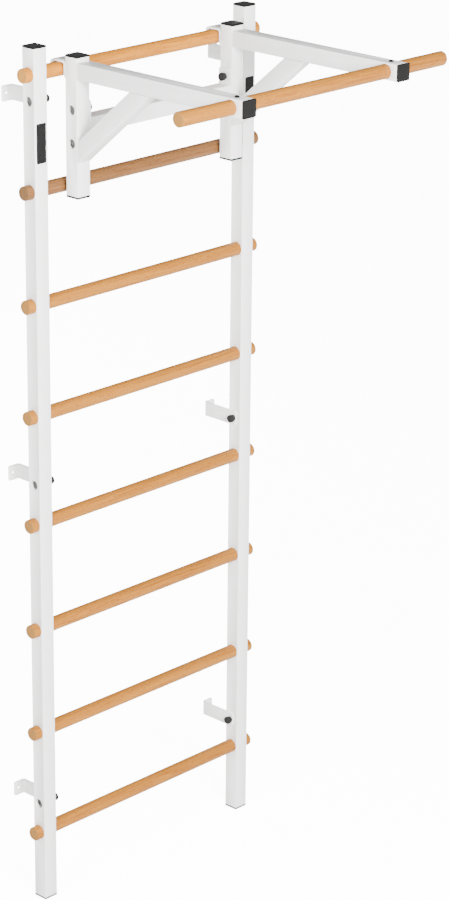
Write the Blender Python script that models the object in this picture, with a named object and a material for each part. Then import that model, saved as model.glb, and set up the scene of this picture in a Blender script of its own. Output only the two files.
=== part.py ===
"""Steel wall bars with beech rungs and a pull-up frame that hooks over the top rung.

Metres, +Z up. The origin lies on the floor at the wall, midway between the two
uprights. +X runs along the rungs and -Y points out into the room.
"""

from math import copysign, cos, pi, radians, sin

import bmesh
import bpy
from mathutils import Matrix, Vector

# Clearance between pieces that touch
GAP = 0.0003

# Beech rods: the rungs and the pull-up bar are cut from one stock
ROD_DIAMETER = 0.035
ROD_END_ROUND = 0.003
RUNG_COUNT = 8
FIRST_RUNG = 0.187
RUNG_PITCH = 0.278
RUNG_OVERHANG = 0.020
BAR_OVERHANG = 0.1635

# Square steel tube, just wide enough to take a rod through its sides
TUBE_WALL = 0.002
HOLE_MARGIN = 0.0002
TUBE_CORNER = 0.0018
BORE_CORNER = 0.0008

# Uprights
UPRIGHT_SPACING = 0.700
WALL_DISTANCE = 0.105
TOP_MARGIN = 0.067

# Push-in plastic caps
CAP_PLATE = 0.0025
CAP_CHAMFER = 0.0010
CAP_DEPTH = 0.012
CAP_WALL = 0.0018

# Wall brackets, folded from strip: the rung that each is set out from, and its rise above it
BRACKET_PLACES = (("low", 1, 0.079), ("middle", 4, 0.103), ("top", RUNG_COUNT, -0.063))
STRAP_WIDTH = 0.038
STRAP_THICKNESS = 0.004
STRAP_BEND = 0.005
FLANGE_REACH = 0.034
FLANGE_CORNER = 0.004
SCREW_HOLE = 0.008
SCREW_EDGE = 0.014

# Bolts with round knob nuts
BOLT_DIAMETER = 0.008
BOLT_HEAD = 0.013
BOLT_HEAD_HEIGHT = 0.005
BOLT_CHAMFER = 0.0008
SOCKET_WIDTH = 0.006
SOCKET_DEPTH = 0.003
ACCESS_HOLE = 0.024
KNOB_DIAMETER = 0.020
KNOB_HEIGHT = 0.0123
KNOB_ROUND = 0.0025
THREAD_DEPTH = 0.007

# Pull-up frame, set out from the top rung
ARM_SPACING = 0.517
ARM_LENGTH = 0.5307
ARM_RISE = 0.004
FRAME_RISE = 0.039
FRAME_FOOT = 0.023
BRACE_DROP = 0.172
BRACE_ANGLE = radians(40.5)
BAR_SETBACK = 0.040
CROSSBAR_DROP = 0.130
PLATE_THICKNESS = 0.004
PLATE_CORNER = 0.004
PLATE_EDGE = 0.020
KNOB_ROOM = 0.010
VENT_HOLE = 0.008

# Hooks, folded from strip
HOOK_THICKNESS = 0.005
HOOK_BEND = 0.005
HOOK_FRONT_ROOM = 0.0035
HOOK_BACK_ROOM = 0.0015
HOOK_DROP = 0.018
HOOK_BEVEL = 0.007
LIP_DROP = 0.004

# Rubber buffers behind the feet of the frame
BUFFER_WIDTH = 0.024
BUFFER_HEIGHT = 0.030
BUFFER_CORNER = 0.003
BUFFER_CHAMFER = 0.001

# Screws that hold the pull-up bar
BAR_SCREW_DIAMETER = 0.005
BAR_SCREW_HEAD = 0.012
BAR_SCREW_DOME = 0.0047
BAR_SCREW_DEPTH = 0.012
TIP_ROOM = 0.001

# Fineness of the round forms
ROD_SIDES = 20
KNOB_SIDES = 16
BOLT_SIDES = 12
BEND_STEPS = 4
CORNER_STEPS = 4
SHARP_ANGLE = radians(35)
CUT_MARGIN = 0.004

# Places that follow from the sizes above
ROD_RADIUS = ROD_DIAMETER / 2
TUBE_SIDE = ROD_DIAMETER + 2 * (GAP + HOLE_MARGIN + TUBE_WALL)
HALF_TUBE = TUBE_SIDE / 2
RUNG_HEIGHTS = [FIRST_RUNG + RUNG_PITCH * step for step in range(RUNG_COUNT)]
TOP_RUNG = RUNG_HEIGHTS[-1]
SECOND_RUNG = RUNG_HEIGHTS[-2]
UPRIGHT_HEIGHT = TOP_RUNG + TOP_MARGIN
RUNG_Y = -WALL_DISTANCE
HOOK_Y = RUNG_Y - ROD_RADIUS - HOOK_FRONT_ROOM
FRAME_Y = HOOK_Y - HOOK_THICKNESS - GAP - HALF_TUBE
FRAME_FRONT = FRAME_Y - HALF_TUBE
ARM_Z = TOP_RUNG + ARM_RISE
BAR_Y = FRAME_FRONT - ARM_LENGTH + BAR_SETBACK
CROSSBAR_Z = TOP_RUNG - CROSSBAR_DROP
PLATE_BOLT = HALF_TUBE + KNOB_ROOM + KNOB_DIAMETER / 2
PLATE_HEIGHT = 2 * (PLATE_BOLT + PLATE_EDGE)

SIDES = (("left", -1), ("right", 1))
ALONG_X = (0, pi / 2, 0)
ALONG_FRONT = (pi / 2, 0, 0)
UPSIDE_DOWN = (pi, 0, 0)
X_AXIS = Vector((1, 0, 0))
Y_AXIS = Vector((0, 1, 0))
Z_AXIS = Vector((0, 0, 1))


def clear_scene():
    for piece in list(bpy.data.objects):
        bpy.data.objects.remove(piece, do_unlink=True)


def make_material(name, colour, roughness, metallic=0.0):
    material = bpy.data.materials.new(name)
    material.use_nodes = True
    shader = material.node_tree.nodes["Principled BSDF"]
    shader.inputs["Base Color"].default_value = (*colour, 1.0)
    shader.inputs["Roughness"].default_value = roughness
    shader.inputs["Metallic"].default_value = metallic
    return material


# Outlines and solids

def round_ring(radius, height, sides):
    """A circle of points about the local Z axis."""
    turns = [2 * pi * step / sides for step in range(sides)]
    return [Vector((radius * cos(turn), radius * sin(turn), height)) for turn in turns]


def hexagon_ring(width, height):
    """A hexagon across its flats, with a point at each corner and at each flat's middle."""
    points = []
    for step in range(BOLT_SIDES):
        radius = width / 2 if step % 2 else width / 2 / cos(pi / 6)
        turn = 2 * pi * step / BOLT_SIDES
        points.append(Vector((radius * cos(turn), radius * sin(turn), height)))
    return points


def box_ring(width, depth, corner, height):
    """A rectangle with rounded corners, three points to each corner."""
    points = []
    for quarter in range(4):
        middle = pi / 4 + quarter * pi / 2
        centre_x = copysign(width / 2 - corner, cos(middle))
        centre_y = copysign(depth / 2 - corner, sin(middle))
        for turn in (middle - pi / 4, middle, middle + pi / 4):
            points.append(Vector((centre_x + corner * cos(turn), centre_y + corner * sin(turn), height)))
    return points


def skin(rings, ring_closed=False, shape=None):
    """Join a stack of rings into a solid: capped at both ends, or closed on itself as a tube."""
    shape = shape or bmesh.new()
    loops = [[shape.verts.new(point) for point in ring] for ring in rings]
    pairs = list(zip(loops, loops[1:]))
    if ring_closed:
        pairs.append((loops[-1], loops[0]))
    else:
        shape.faces.new(loops[0])
        shape.faces.new(loops[-1])
    for low, high in pairs:
        for step in range(len(low)):
            after = (step + 1) % len(low)
            shape.faces.new((low[step], low[after], high[after], high[step]))
    bmesh.ops.recalc_face_normals(shape, faces=shape.faces)
    return shape


def tube_shape(length):
    """Square tube with open ends, from the local origin up its Z axis."""
    bore = TUBE_SIDE - 2 * TUBE_WALL
    return skin([
        box_ring(TUBE_SIDE, TUBE_SIDE, TUBE_CORNER, 0),
        box_ring(TUBE_SIDE, TUBE_SIDE, TUBE_CORNER, length),
        box_ring(bore, bore, BORE_CORNER, length),
        box_ring(bore, bore, BORE_CORNER, 0),
    ], ring_closed=True)


def rod_shape(length):
    """Turned rod with rounded ends, centred on the local origin."""
    half = length / 2
    profile = []
    for turn in (0, pi / 4, pi / 2):
        inset = ROD_END_ROUND * (1 - sin(turn))
        profile.append((ROD_RADIUS - inset, half - ROD_END_ROUND * (1 - cos(turn))))
    ends = [(radius, -height) for radius, height in profile]
    return skin([round_ring(radius, height, ROD_SIDES) for radius, height in ends + profile[::-1]])


def cap_shape():
    """Tube cap: a chamfered plate over a hollow skirt, with the tube's end at Z = 0."""
    skirt = TUBE_SIDE - 2 * TUBE_WALL - 2 * GAP
    inside = skirt - 2 * CAP_WALL
    face = TUBE_SIDE - 2 * CAP_CHAMFER
    top = GAP + CAP_PLATE
    return skin([
        box_ring(face, face, TUBE_CORNER, top),
        box_ring(TUBE_SIDE, TUBE_SIDE, TUBE_CORNER, top - CAP_CHAMFER),
        box_ring(TUBE_SIDE, TUBE_SIDE, TUBE_CORNER, GAP),
        box_ring(skirt, skirt, BORE_CORNER, GAP),
        box_ring(skirt, skirt, BORE_CORNER, -CAP_DEPTH),
        box_ring(inside, inside, BORE_CORNER, -CAP_DEPTH),
        box_ring(inside, inside, BORE_CORNER, GAP),
    ])


def bolt_shape(clamped):
    """Socket-head bolt along Z, its head under the origin and its end in the knob."""
    head = BOLT_HEAD / 2
    shank = BOLT_DIAMETER / 2
    length = clamped + THREAD_DEPTH
    return skin([
        hexagon_ring(SOCKET_WIDTH, SOCKET_DEPTH - BOLT_HEAD_HEIGHT),
        hexagon_ring(SOCKET_WIDTH, -BOLT_HEAD_HEIGHT),
        round_ring(head - BOLT_CHAMFER, -BOLT_HEAD_HEIGHT, BOLT_SIDES),
        round_ring(head, BOLT_CHAMFER - BOLT_HEAD_HEIGHT, BOLT_SIDES),
        round_ring(head, 0, BOLT_SIDES),
        round_ring(shank, 0, BOLT_SIDES),
        round_ring(shank, length, BOLT_SIDES),
    ])


def knob_shape():
    """Round nut with a softened rim, its seat at the origin and its bore closed at the far end."""
    radius = KNOB_DIAMETER / 2
    bore = BOLT_DIAMETER / 2 + GAP
    rings = [
        round_ring(bore, THREAD_DEPTH + TIP_ROOM, KNOB_SIDES),
        round_ring(bore, 0, KNOB_SIDES),
        round_ring(radius, 0, KNOB_SIDES),
    ]
    for turn in (0, pi / 4, pi / 2):
        inset = KNOB_ROUND * (1 - cos(turn))
        height = KNOB_HEIGHT - KNOB_ROUND * (1 - sin(turn))
        rings.append(round_ring(radius - inset, height, KNOB_SIDES))
    return skin(rings)


def screw_shape():
    """Dome-head screw along -Z, the head's seat at the origin."""
    head = BAR_SCREW_HEAD / 2
    shank = BAR_SCREW_DIAMETER / 2
    depth = TUBE_WALL + HOLE_MARGIN + BAR_SCREW_DEPTH
    rings = [round_ring(shank, -depth, BOLT_SIDES), round_ring(shank, 0, BOLT_SIDES)]
    for turn in (0, pi / 6, pi / 3):
        rings.append(round_ring(head * cos(turn), BAR_SCREW_DOME * sin(turn), BOLT_SIDES))
    return skin(rings)


# Folded strip

def blank_shape(length, width, thickness, start_round, end_round):
    """Flat blank: X along it, Y across it, Z through it, with its corners rounded at either end."""
    shape = bmesh.new()
    points = []
    corners = ((length, 1, end_round), (0, 1, start_round), (0, -1, start_round), (length, -1, end_round))
    for quarter, (station, across, corner) in enumerate(corners):
        inward = corner if station == 0 else -corner
        centre = Vector((station + inward, across * (width / 2 - corner), 0))
        steps = CORNER_STEPS if corner > 0 else 0
        for step in range(steps + 1):
            turn = quarter * pi / 2 + (pi / 2 * step / steps if steps else 0)
            points.append(centre + corner * Vector((cos(turn), sin(turn), 0)))
    face = shape.faces.new([shape.verts.new(point) for point in points])
    bmesh.ops.remove_doubles(shape, verts=shape.verts, dist=0.00001)
    face = shape.faces[:][0]
    raised = bmesh.ops.extrude_face_region(shape, geom=[face])["geom"]
    lifted = [item for item in raised if isinstance(item, bmesh.types.BMVert)]
    bmesh.ops.translate(shape, verts=lifted, vec=(0, 0, thickness))
    return shape


def folded_place(along, depth, flats, radius):
    """Where a point of the blank lands in the plane of the folds, with the flats at right angles."""
    place = Vector((0, 0))
    turned = 0.0
    for number, flat in enumerate(flats):
        heading = Vector((cos(turned), sin(turned)))
        outward = Vector((sin(turned), -cos(turned)))
        if along <= flat or number == len(flats) - 1:
            return place + heading * along + outward * depth
        centre = place + heading * flat - outward * radius
        along -= flat
        bend = along / radius
        if bend < pi / 2:
            swung = turned + bend
            return centre + Vector((sin(swung), -cos(swung))) * (radius + depth)
        along -= radius * pi / 2
        turned += pi / 2
        place = centre + Vector((sin(turned), -cos(turned))) * radius
    return place


def fold(shape, flats, radius, start_bevel=0.0):
    """Crease the blank over each bend and wrap it: X and Y take the folds, Z the strip's width."""
    station = 0.0
    for flat in flats[:-1]:
        station += flat
        for step in range(BEND_STEPS + 1):
            crease = station + radius * pi / 2 * step / BEND_STEPS
            geometry = shape.verts[:] + shape.edges[:] + shape.faces[:]
            bmesh.ops.bisect_plane(shape, geom=geometry, plane_co=(crease, 0, 0), plane_no=(1, 0, 0))
        station += radius * pi / 2
    for point in shape.verts:
        along, across, depth = point.co
        if along < start_bevel and depth < radius / 2:
            along = start_bevel
        spot = folded_place(along, depth, flats, radius)
        point.co = (spot.x, spot.y, across)
    bmesh.ops.recalc_face_normals(shape, faces=shape.faces)


def turn_shape(shape, along, toward, shift):
    """Lay the folded strip out: its first flat runs along one axis and folds toward another."""
    width_axis = along.cross(toward)
    columns = Matrix((along, toward, width_axis)).transposed()
    shape.transform(Matrix.Translation(shift) @ columns.to_4x4())
    bmesh.ops.recalc_face_normals(shape, faces=shape.faces)


# Objects

def add_piece(name, shape, material, location, rotation=(0, 0, 0), carrier=None):
    mesh = bpy.data.meshes.new(name)
    shape.to_mesh(mesh)
    shape.free()
    mesh.materials.append(material)
    mesh.shade_smooth()
    mesh.set_sharp_from_angle(angle=SHARP_ANGLE)
    piece = bpy.data.objects.new(name, mesh)
    bpy.context.scene.collection.objects.link(piece)
    piece.rotation_euler = rotation
    piece.location = Vector(location)
    if carrier:
        piece.parent = carrier
        piece.location -= carrier.location
    return piece


def cut(piece, shape, operation="DIFFERENCE"):
    """Cut a shape out of a piece, or weld it on, in the piece's own coordinates."""
    mesh = bpy.data.meshes.new(piece.name + "_tool")
    shape.to_mesh(mesh)
    shape.free()
    tool = bpy.data.objects.new(mesh.name, mesh)
    bpy.context.scene.collection.objects.link(tool)
    tool.parent = piece
    tool.hide_render = True
    tool.display_type = "WIRE"
    modifier = piece.modifiers.new(tool.name, "BOOLEAN")
    modifier.object = tool
    modifier.operation = operation
    modifier.solver = "EXACT"


def drill(piece, holes):
    """Cut round holes: each has a centre, an axis, a radius, a depth and a number of sides."""
    shape = bmesh.new()
    for centre, axis, radius, depth, sides in holes:
        turn = Z_AXIS.rotation_difference(axis).to_matrix()
        ends = [round_ring(radius, height, sides) for height in (-depth / 2, depth / 2)]
        skin([[turn @ point + Vector(centre) for point in ring] for ring in ends], shape=shape)
    cut(piece, shape)


def wall_hole(centre, axis, radius, sides):
    """A hole through one wall of a tube, about a centre on its outer face."""
    return (centre, axis, radius, 2 * (TUBE_WALL + CUT_MARGIN), sides)


def through_hole(centre, axis):
    """A hole for a rod, through both sides of a tube."""
    return (centre, axis, ROD_RADIUS + GAP, TUBE_SIDE + 2 * CUT_MARGIN, ROD_SIDES)


def add_fastener(name, side, seat, height, plate, material_bolt, material_knob, carrier=None):
    """A bolt from inside a tube, through its inner wall and a plate, and the knob on it."""
    x, y = seat
    rotation = (0, -side * pi / 2, 0)
    head_x = x + side * (TUBE_WALL + GAP)
    knob_x = x - side * (plate + 2 * GAP)
    clamped = side * (head_x - knob_x)
    add_piece(name.format("bolt"), bolt_shape(clamped), material_bolt, (head_x, y, height), rotation, carrier)
    add_piece(name.format("knob"), knob_shape(), material_knob, (knob_x, y, height), rotation, carrier)


def add_uprights(steel, plastic):
    foot = CAP_PLATE + GAP
    length = UPRIGHT_HEIGHT - 2 * foot
    for word, side in SIDES:
        x = side * UPRIGHT_SPACING / 2
        upright = add_piece("upright_" + word, tube_shape(length), steel, (x, RUNG_Y, foot))
        holes = [through_hole((0, 0, height - foot), X_AXIS) for height in RUNG_HEIGHTS]
        for _, rung, rise in BRACKET_PLACES:
            height = RUNG_HEIGHTS[rung - 1] + rise - foot
            outside = (side * HALF_TUBE, 0, height)
            inside = (-side * HALF_TUBE, 0, height)
            holes.append(wall_hole(outside, X_AXIS, ACCESS_HOLE / 2, KNOB_SIDES))
            holes.append(wall_hole(inside, X_AXIS, BOLT_DIAMETER / 2 + GAP, BOLT_SIDES))
        drill(upright, holes)
        add_piece("upright_cap_" + word, cap_shape(), plastic, (x, RUNG_Y, foot + length))
        add_piece("foot_cap_" + word, cap_shape(), plastic, (x, RUNG_Y, foot), UPSIDE_DOWN)


def add_rungs(wood):
    length = UPRIGHT_SPACING + TUBE_SIDE + 2 * RUNG_OVERHANG
    for number, height in enumerate(RUNG_HEIGHTS, start=1):
        add_piece("rung_" + str(number), rod_shape(length), wood, (0, RUNG_Y, height), ALONG_X)


def add_wall_brackets(steel, zinc, plastic):
    """Straps on the uprights' inner faces, folded outward against the wall behind them."""
    nose = STRAP_WIDTH / 2
    strap = nose + WALL_DISTANCE - STRAP_THICKNESS - STRAP_BEND
    flange = FLANGE_REACH - STRAP_THICKNESS - STRAP_BEND
    flats = (strap, flange)
    length = strap + flange + STRAP_BEND * pi / 2
    hole_reach = FLANGE_REACH - STRAP_THICKNESS - SCREW_EDGE
    for word, side in SIDES:
        seat = side * (UPRIGHT_SPACING / 2 - HALF_TUBE)
        for level, rung, rise in BRACKET_PLACES:
            height = RUNG_HEIGHTS[rung - 1] + rise
            shape = blank_shape(length, STRAP_WIDTH, STRAP_THICKNESS, nose, FLANGE_CORNER)
            fold(shape, flats, STRAP_BEND)
            turn_shape(shape, Y_AXIS, side * X_AXIS, Vector((0, -nose, 0)))
            name = "wall_bracket_" + word + "_" + level
            bracket = add_piece(name, shape, steel, (seat - side * GAP, RUNG_Y, height))
            bolt_depth = 2 * (STRAP_THICKNESS + CUT_MARGIN)
            flange_centre = (side * hole_reach, WALL_DISTANCE, 0)
            drill(bracket, [
                ((0, 0, 0), X_AXIS, BOLT_DIAMETER / 2 + GAP, bolt_depth, BOLT_SIDES),
                (flange_centre, Y_AXIS, SCREW_HOLE / 2, bolt_depth, BOLT_SIDES),
            ])
            fastener = "bracket_{}_" + word + "_" + level
            add_fastener(fastener, side, (seat, RUNG_Y), height, STRAP_THICKNESS, zinc, plastic)


def add_frame_tubes(steel, plastic, carrier):
    foot = SECOND_RUNG - FRAME_FOOT + CAP_PLATE + GAP
    top = TOP_RUNG + FRAME_RISE - CAP_PLATE - GAP
    for word, side in SIDES:
        x = side * ARM_SPACING / 2
        tube = add_piece("frame_tube_" + word, tube_shape(top - foot), steel, (x, FRAME_Y, foot), carrier=carrier)
        holes = []
        for step in (-1, 1):
            height = CROSSBAR_Z + step * PLATE_BOLT - foot
            outside = (side * HALF_TUBE, 0, height)
            inside = (-side * HALF_TUBE, 0, height)
            holes.append(wall_hole(outside, X_AXIS, ACCESS_HOLE / 2, KNOB_SIDES))
            holes.append(wall_hole(inside, X_AXIS, BOLT_DIAMETER / 2 + GAP, BOLT_SIDES))
        drill(tube, holes)
        add_piece("frame_cap_" + word, cap_shape(), plastic, (x, FRAME_Y, top), carrier=carrier)
        add_piece("frame_foot_cap_" + word, cap_shape(), plastic, (x, FRAME_Y, foot), UPSIDE_DOWN, carrier)


def add_arms(steel, plastic, zinc, carrier):
    """Arms from the frame tubes' front faces, with the holes that carry the pull-up bar."""
    length = ARM_LENGTH - 2 * GAP - CAP_PLATE
    back = FRAME_FRONT - GAP
    for word, side in SIDES:
        x = side * ARM_SPACING / 2
        arm = add_piece("arm_" + word, tube_shape(length), steel, (x, back, ARM_Z), ALONG_FRONT, carrier)
        bar_place = back - BAR_Y
        drill(arm, [
            through_hole((0, 0, bar_place), X_AXIS),
            wall_hole((0, HALF_TUBE, bar_place), Y_AXIS, BAR_SCREW_DIAMETER / 2 + GAP, BOLT_SIDES),
        ])
        add_piece("arm_cap_" + word, cap_shape(), plastic, (x, back - length, ARM_Z), ALONG_FRONT, carrier)
        seat = (x, BAR_Y, ARM_Z + HALF_TUBE + GAP)
        add_piece("bar_screw_" + word, screw_shape(), zinc, seat, carrier=carrier)


def add_pull_up_bar(wood, carrier):
    length = ARM_SPACING + TUBE_SIDE + 2 * BAR_OVERHANG
    bar = add_piece("pull_up_bar", rod_shape(length), wood, (0, BAR_Y, ARM_Z), ALONG_X, carrier)
    depth = 2 * (BAR_SCREW_DEPTH + TIP_ROOM)
    centres = [(-ROD_RADIUS, 0, side * ARM_SPACING / 2) for _, side in SIDES]
    drill(bar, [(centre, X_AXIS, BAR_SCREW_DIAMETER / 2 + GAP, depth, BOLT_SIDES) for centre in centres])


def brace_ring(side_length, corner, sloped, end_plane):
    """One mitred end: the tube's outline run along its axis until it meets a plane."""
    axis = Vector((0, -cos(BRACE_ANGLE), sin(BRACE_ANGLE)))
    across = Vector((0, sin(BRACE_ANGLE), cos(BRACE_ANGLE)))
    plane_point, plane_normal = end_plane
    points = []
    for point in box_ring(side_length, side_length, corner, 0):
        start = sloped + X_AXIS * point.x + across * point.y
        travel = (plane_point - start).dot(plane_normal) / axis.dot(plane_normal)
        points.append(start + axis * travel)
    return points


def add_braces(steel, carrier):
    """Mitred tubes from the frame tubes' front faces up to the arms' undersides."""
    underside = ARM_Z - HALF_TUBE
    start = Vector((0, 0, underside - BRACE_DROP))
    behind = (Vector((0, -GAP, 0)), Y_AXIS)
    above = (Vector((0, 0, underside - GAP)), Z_AXIS)
    bore = TUBE_SIDE - 2 * TUBE_WALL
    for word, side in SIDES:
        shape = skin([
            brace_ring(TUBE_SIDE, TUBE_CORNER, start, behind),
            brace_ring(TUBE_SIDE, TUBE_CORNER, start, above),
            brace_ring(bore, BORE_CORNER, start, above),
            brace_ring(bore, BORE_CORNER, start, behind),
        ], ring_closed=True)
        place = (side * ARM_SPACING / 2, FRAME_FRONT, 0)
        add_piece("brace_" + word, shape, steel, place, carrier=carrier)


def add_crossbar(steel, zinc, plastic, carrier):
    """A tube with a plate welded to each end, vented into the frame tubes, and its fasteners."""
    face = ARM_SPACING / 2 - HALF_TUBE - GAP
    inner = face - PLATE_THICKNESS
    weld = PLATE_THICKNESS / 2
    half = inner + weld
    bore = TUBE_SIDE - 2 * TUBE_WALL
    body = skin([box_ring(TUBE_SIDE, TUBE_SIDE, TUBE_CORNER, height) for height in (-half, half)])
    crossbar = add_piece("crossbar", body, steel, (0, FRAME_Y, CROSSBAR_Z), ALONG_X, carrier)
    plates = bmesh.new()
    for _, side in SIDES:
        ends = sorted((side * inner, side * face))
        skin([box_ring(PLATE_HEIGHT, TUBE_SIDE, PLATE_CORNER, height) for height in ends], shape=plates)
    cut(crossbar, plates, "UNION")
    cut(crossbar, skin([box_ring(bore, bore, BORE_CORNER, height) for height in (-inner, inner)]))
    depth = 2 * (PLATE_THICKNESS + CUT_MARGIN)
    holes = []
    for _, side in SIDES:
        holes.append(((0, 0, side * face), Z_AXIS, VENT_HOLE / 2, depth, BOLT_SIDES))
        for step in (-1, 1):
            centre = (step * PLATE_BOLT, 0, side * face)
            holes.append((centre, Z_AXIS, BOLT_DIAMETER / 2 + GAP, depth, BOLT_SIDES))
    drill(crossbar, holes)
    for word, side in SIDES:
        seat = (side * (ARM_SPACING / 2 - HALF_TUBE), FRAME_Y)
        for level, step in (("lower", -1), ("upper", 1)):
            name = "crossbar_{}_" + word + "_" + level
            height = CROSSBAR_Z + step * PLATE_BOLT
            add_fastener(name, side, seat, height, PLATE_THICKNESS, zinc, plastic, carrier)


def add_hooks(steel, carrier):
    """Strips folded over the top rung, with their front flats against the frame tubes."""
    above = ROD_RADIUS + GAP
    front = HOOK_DROP + above - HOOK_BEND
    top = HOOK_FRONT_ROOM + ROD_DIAMETER + HOOK_BACK_ROOM - 2 * HOOK_BEND
    lip = above + LIP_DROP - HOOK_BEND
    length = front + top + lip + HOOK_BEND * pi
    for word, side in SIDES:
        shape = blank_shape(length, TUBE_SIDE, HOOK_THICKNESS, 0, 0)
        fold(shape, (front, top, lip), HOOK_BEND, HOOK_BEVEL)
        turn_shape(shape, Z_AXIS, Y_AXIS, Vector((0, 0, -HOOK_DROP)))
        place = (side * ARM_SPACING / 2, HOOK_Y, TOP_RUNG)
        add_piece("hook_" + word, shape, steel, place, carrier=carrier)


def add_buffers(rubber, carrier):
    """Pads on the frame tubes' backs that bear on the rung below the top one."""
    back = RUNG_Y - ROD_RADIUS - GAP
    front = FRAME_Y + HALF_TUBE + GAP
    thick = back - front
    narrow = BUFFER_WIDTH - 2 * BUFFER_CHAMFER
    low = BUFFER_HEIGHT - 2 * BUFFER_CHAMFER
    for word, side in SIDES:
        shape = skin([
            box_ring(BUFFER_WIDTH, BUFFER_HEIGHT, BUFFER_CORNER, 0),
            box_ring(BUFFER_WIDTH, BUFFER_HEIGHT, BUFFER_CORNER, thick - BUFFER_CHAMFER),
            box_ring(narrow, low, BUFFER_CORNER, thick),
        ])
        place = (side * ARM_SPACING / 2, front, SECOND_RUNG)
        add_piece("buffer_" + word, shape, rubber, place, (-pi / 2, 0, 0), carrier)


def main():
    clear_scene()
    steel = make_material("white_powder_coated_steel", (0.80, 0.80, 0.79), 0.45)
    wood = make_material("beech", (0.62, 0.36, 0.17), 0.5)
    plastic = make_material("black_plastic", (0.03, 0.03, 0.03), 0.5)
    rubber = make_material("black_rubber", (0.02, 0.02, 0.02), 0.8)
    zinc = make_material("zinc_plated_steel", (0.55, 0.56, 0.57), 0.35, 1.0)

    add_uprights(steel, plastic)
    add_rungs(wood)
    add_wall_brackets(steel, zinc, plastic)

    carrier = bpy.data.objects.new("pull_up_frame_slide", None)
    carrier.location = (0, FRAME_Y, TOP_RUNG)
    bpy.context.scene.collection.objects.link(carrier)
    add_frame_tubes(steel, plastic, carrier)
    add_arms(steel, plastic, plastic, carrier)
    add_pull_up_bar(wood, carrier)
    add_braces(steel, carrier)
    add_crossbar(steel, zinc, plastic, carrier)
    add_hooks(steel, carrier)
    add_buffers(rubber, carrier)


main()
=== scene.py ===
# %% [markdown]
# # Wall bars with a hook-on pull-up frame
#
# The real object is a pair of square steel posts bolted to a wall, with eight
# round beech rungs through them and a steel frame that hooks over the top rung
# and carries a pull-up bar. The solids are already made to size. This lesson
# dresses them: it sets up the picture, mixes the finishes, makes the round,
# moulded and folded pieces finely enough for a close look, and softens the
# steel that keeps its solid.
#
# Everything is in metres. The origin lies on the floor at the wall, +X runs
# along the rungs and -Y points out into the room.

from math import cos, degrees, pi, radians, sin

import bmesh
import bpy
from mathutils import Matrix, Vector


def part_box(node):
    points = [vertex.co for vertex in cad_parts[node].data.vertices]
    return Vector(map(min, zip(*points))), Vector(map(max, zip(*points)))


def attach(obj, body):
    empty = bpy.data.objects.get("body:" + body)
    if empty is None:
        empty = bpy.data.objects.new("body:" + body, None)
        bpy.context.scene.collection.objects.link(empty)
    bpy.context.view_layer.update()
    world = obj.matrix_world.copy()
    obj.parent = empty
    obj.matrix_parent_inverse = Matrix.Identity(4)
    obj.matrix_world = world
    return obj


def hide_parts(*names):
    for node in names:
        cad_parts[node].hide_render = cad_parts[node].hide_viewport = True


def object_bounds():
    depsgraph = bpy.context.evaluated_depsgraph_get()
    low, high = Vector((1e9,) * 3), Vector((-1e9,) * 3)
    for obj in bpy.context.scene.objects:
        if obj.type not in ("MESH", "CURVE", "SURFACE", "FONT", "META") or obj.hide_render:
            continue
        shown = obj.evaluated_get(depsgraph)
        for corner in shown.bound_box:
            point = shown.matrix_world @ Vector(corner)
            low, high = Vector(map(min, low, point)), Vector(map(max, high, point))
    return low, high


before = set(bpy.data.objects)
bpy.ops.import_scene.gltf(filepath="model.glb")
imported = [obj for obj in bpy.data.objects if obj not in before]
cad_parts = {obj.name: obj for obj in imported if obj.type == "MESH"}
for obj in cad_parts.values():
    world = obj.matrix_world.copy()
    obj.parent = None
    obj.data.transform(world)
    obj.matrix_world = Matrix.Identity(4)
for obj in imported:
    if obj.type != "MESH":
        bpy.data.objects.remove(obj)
solid_box = [list(map(float, corner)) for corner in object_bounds()]
print("solids reach from", solid_box[0], "to", solid_box[1])

# %% [markdown]
# ## The picture
#
# The wall bars were photographed from the front left and from above their top,
# looking down by about twenty degrees. A camera can be placed by eye, or
# worked out from the corners of the posts and arms, whose sizes are known. The
# second way was chosen, because it lays the edges of the render on those of
# the photograph.

# %% Set up the camera
CAMERA_PLACE = Vector((-4.7537, -4.9374, 3.6121))
CAMERA_AZIMUTH = radians(-46.2486)
CAMERA_ELEVATION = radians(20.1821)
CAMERA_ROLL = radians(0.5298)
LENS = 115.28          # mm
SENSOR_HEIGHT = 36.0   # mm
FARTHEST_SEEN = 200.0

towards_camera = Vector((sin(CAMERA_AZIMUTH) * cos(CAMERA_ELEVATION),
                         -cos(CAMERA_AZIMUTH) * cos(CAMERA_ELEVATION),
                         sin(CAMERA_ELEVATION)))
level = Vector((cos(CAMERA_AZIMUTH), sin(CAMERA_AZIMUTH), 0.0))
upward = towards_camera.cross(level)
across = level * cos(CAMERA_ROLL) + upward * sin(CAMERA_ROLL)
upright = upward * cos(CAMERA_ROLL) - level * sin(CAMERA_ROLL)

camera = bpy.data.objects.new("camera", bpy.data.cameras.new("camera"))
bpy.context.scene.collection.objects.link(camera)
camera.data.sensor_fit = "VERTICAL"
camera.data.sensor_height = SENSOR_HEIGHT
camera.data.lens = LENS
camera.data.clip_end = FARTHEST_SEEN
camera.matrix_world = Matrix.Translation(CAMERA_PLACE) @ Matrix(
    (across, upright, towards_camera)).transposed().to_4x4()
bpy.context.scene.camera = camera
print("camera stands", round(CAMERA_PLACE.length, 2), "m from the origin")
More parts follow.
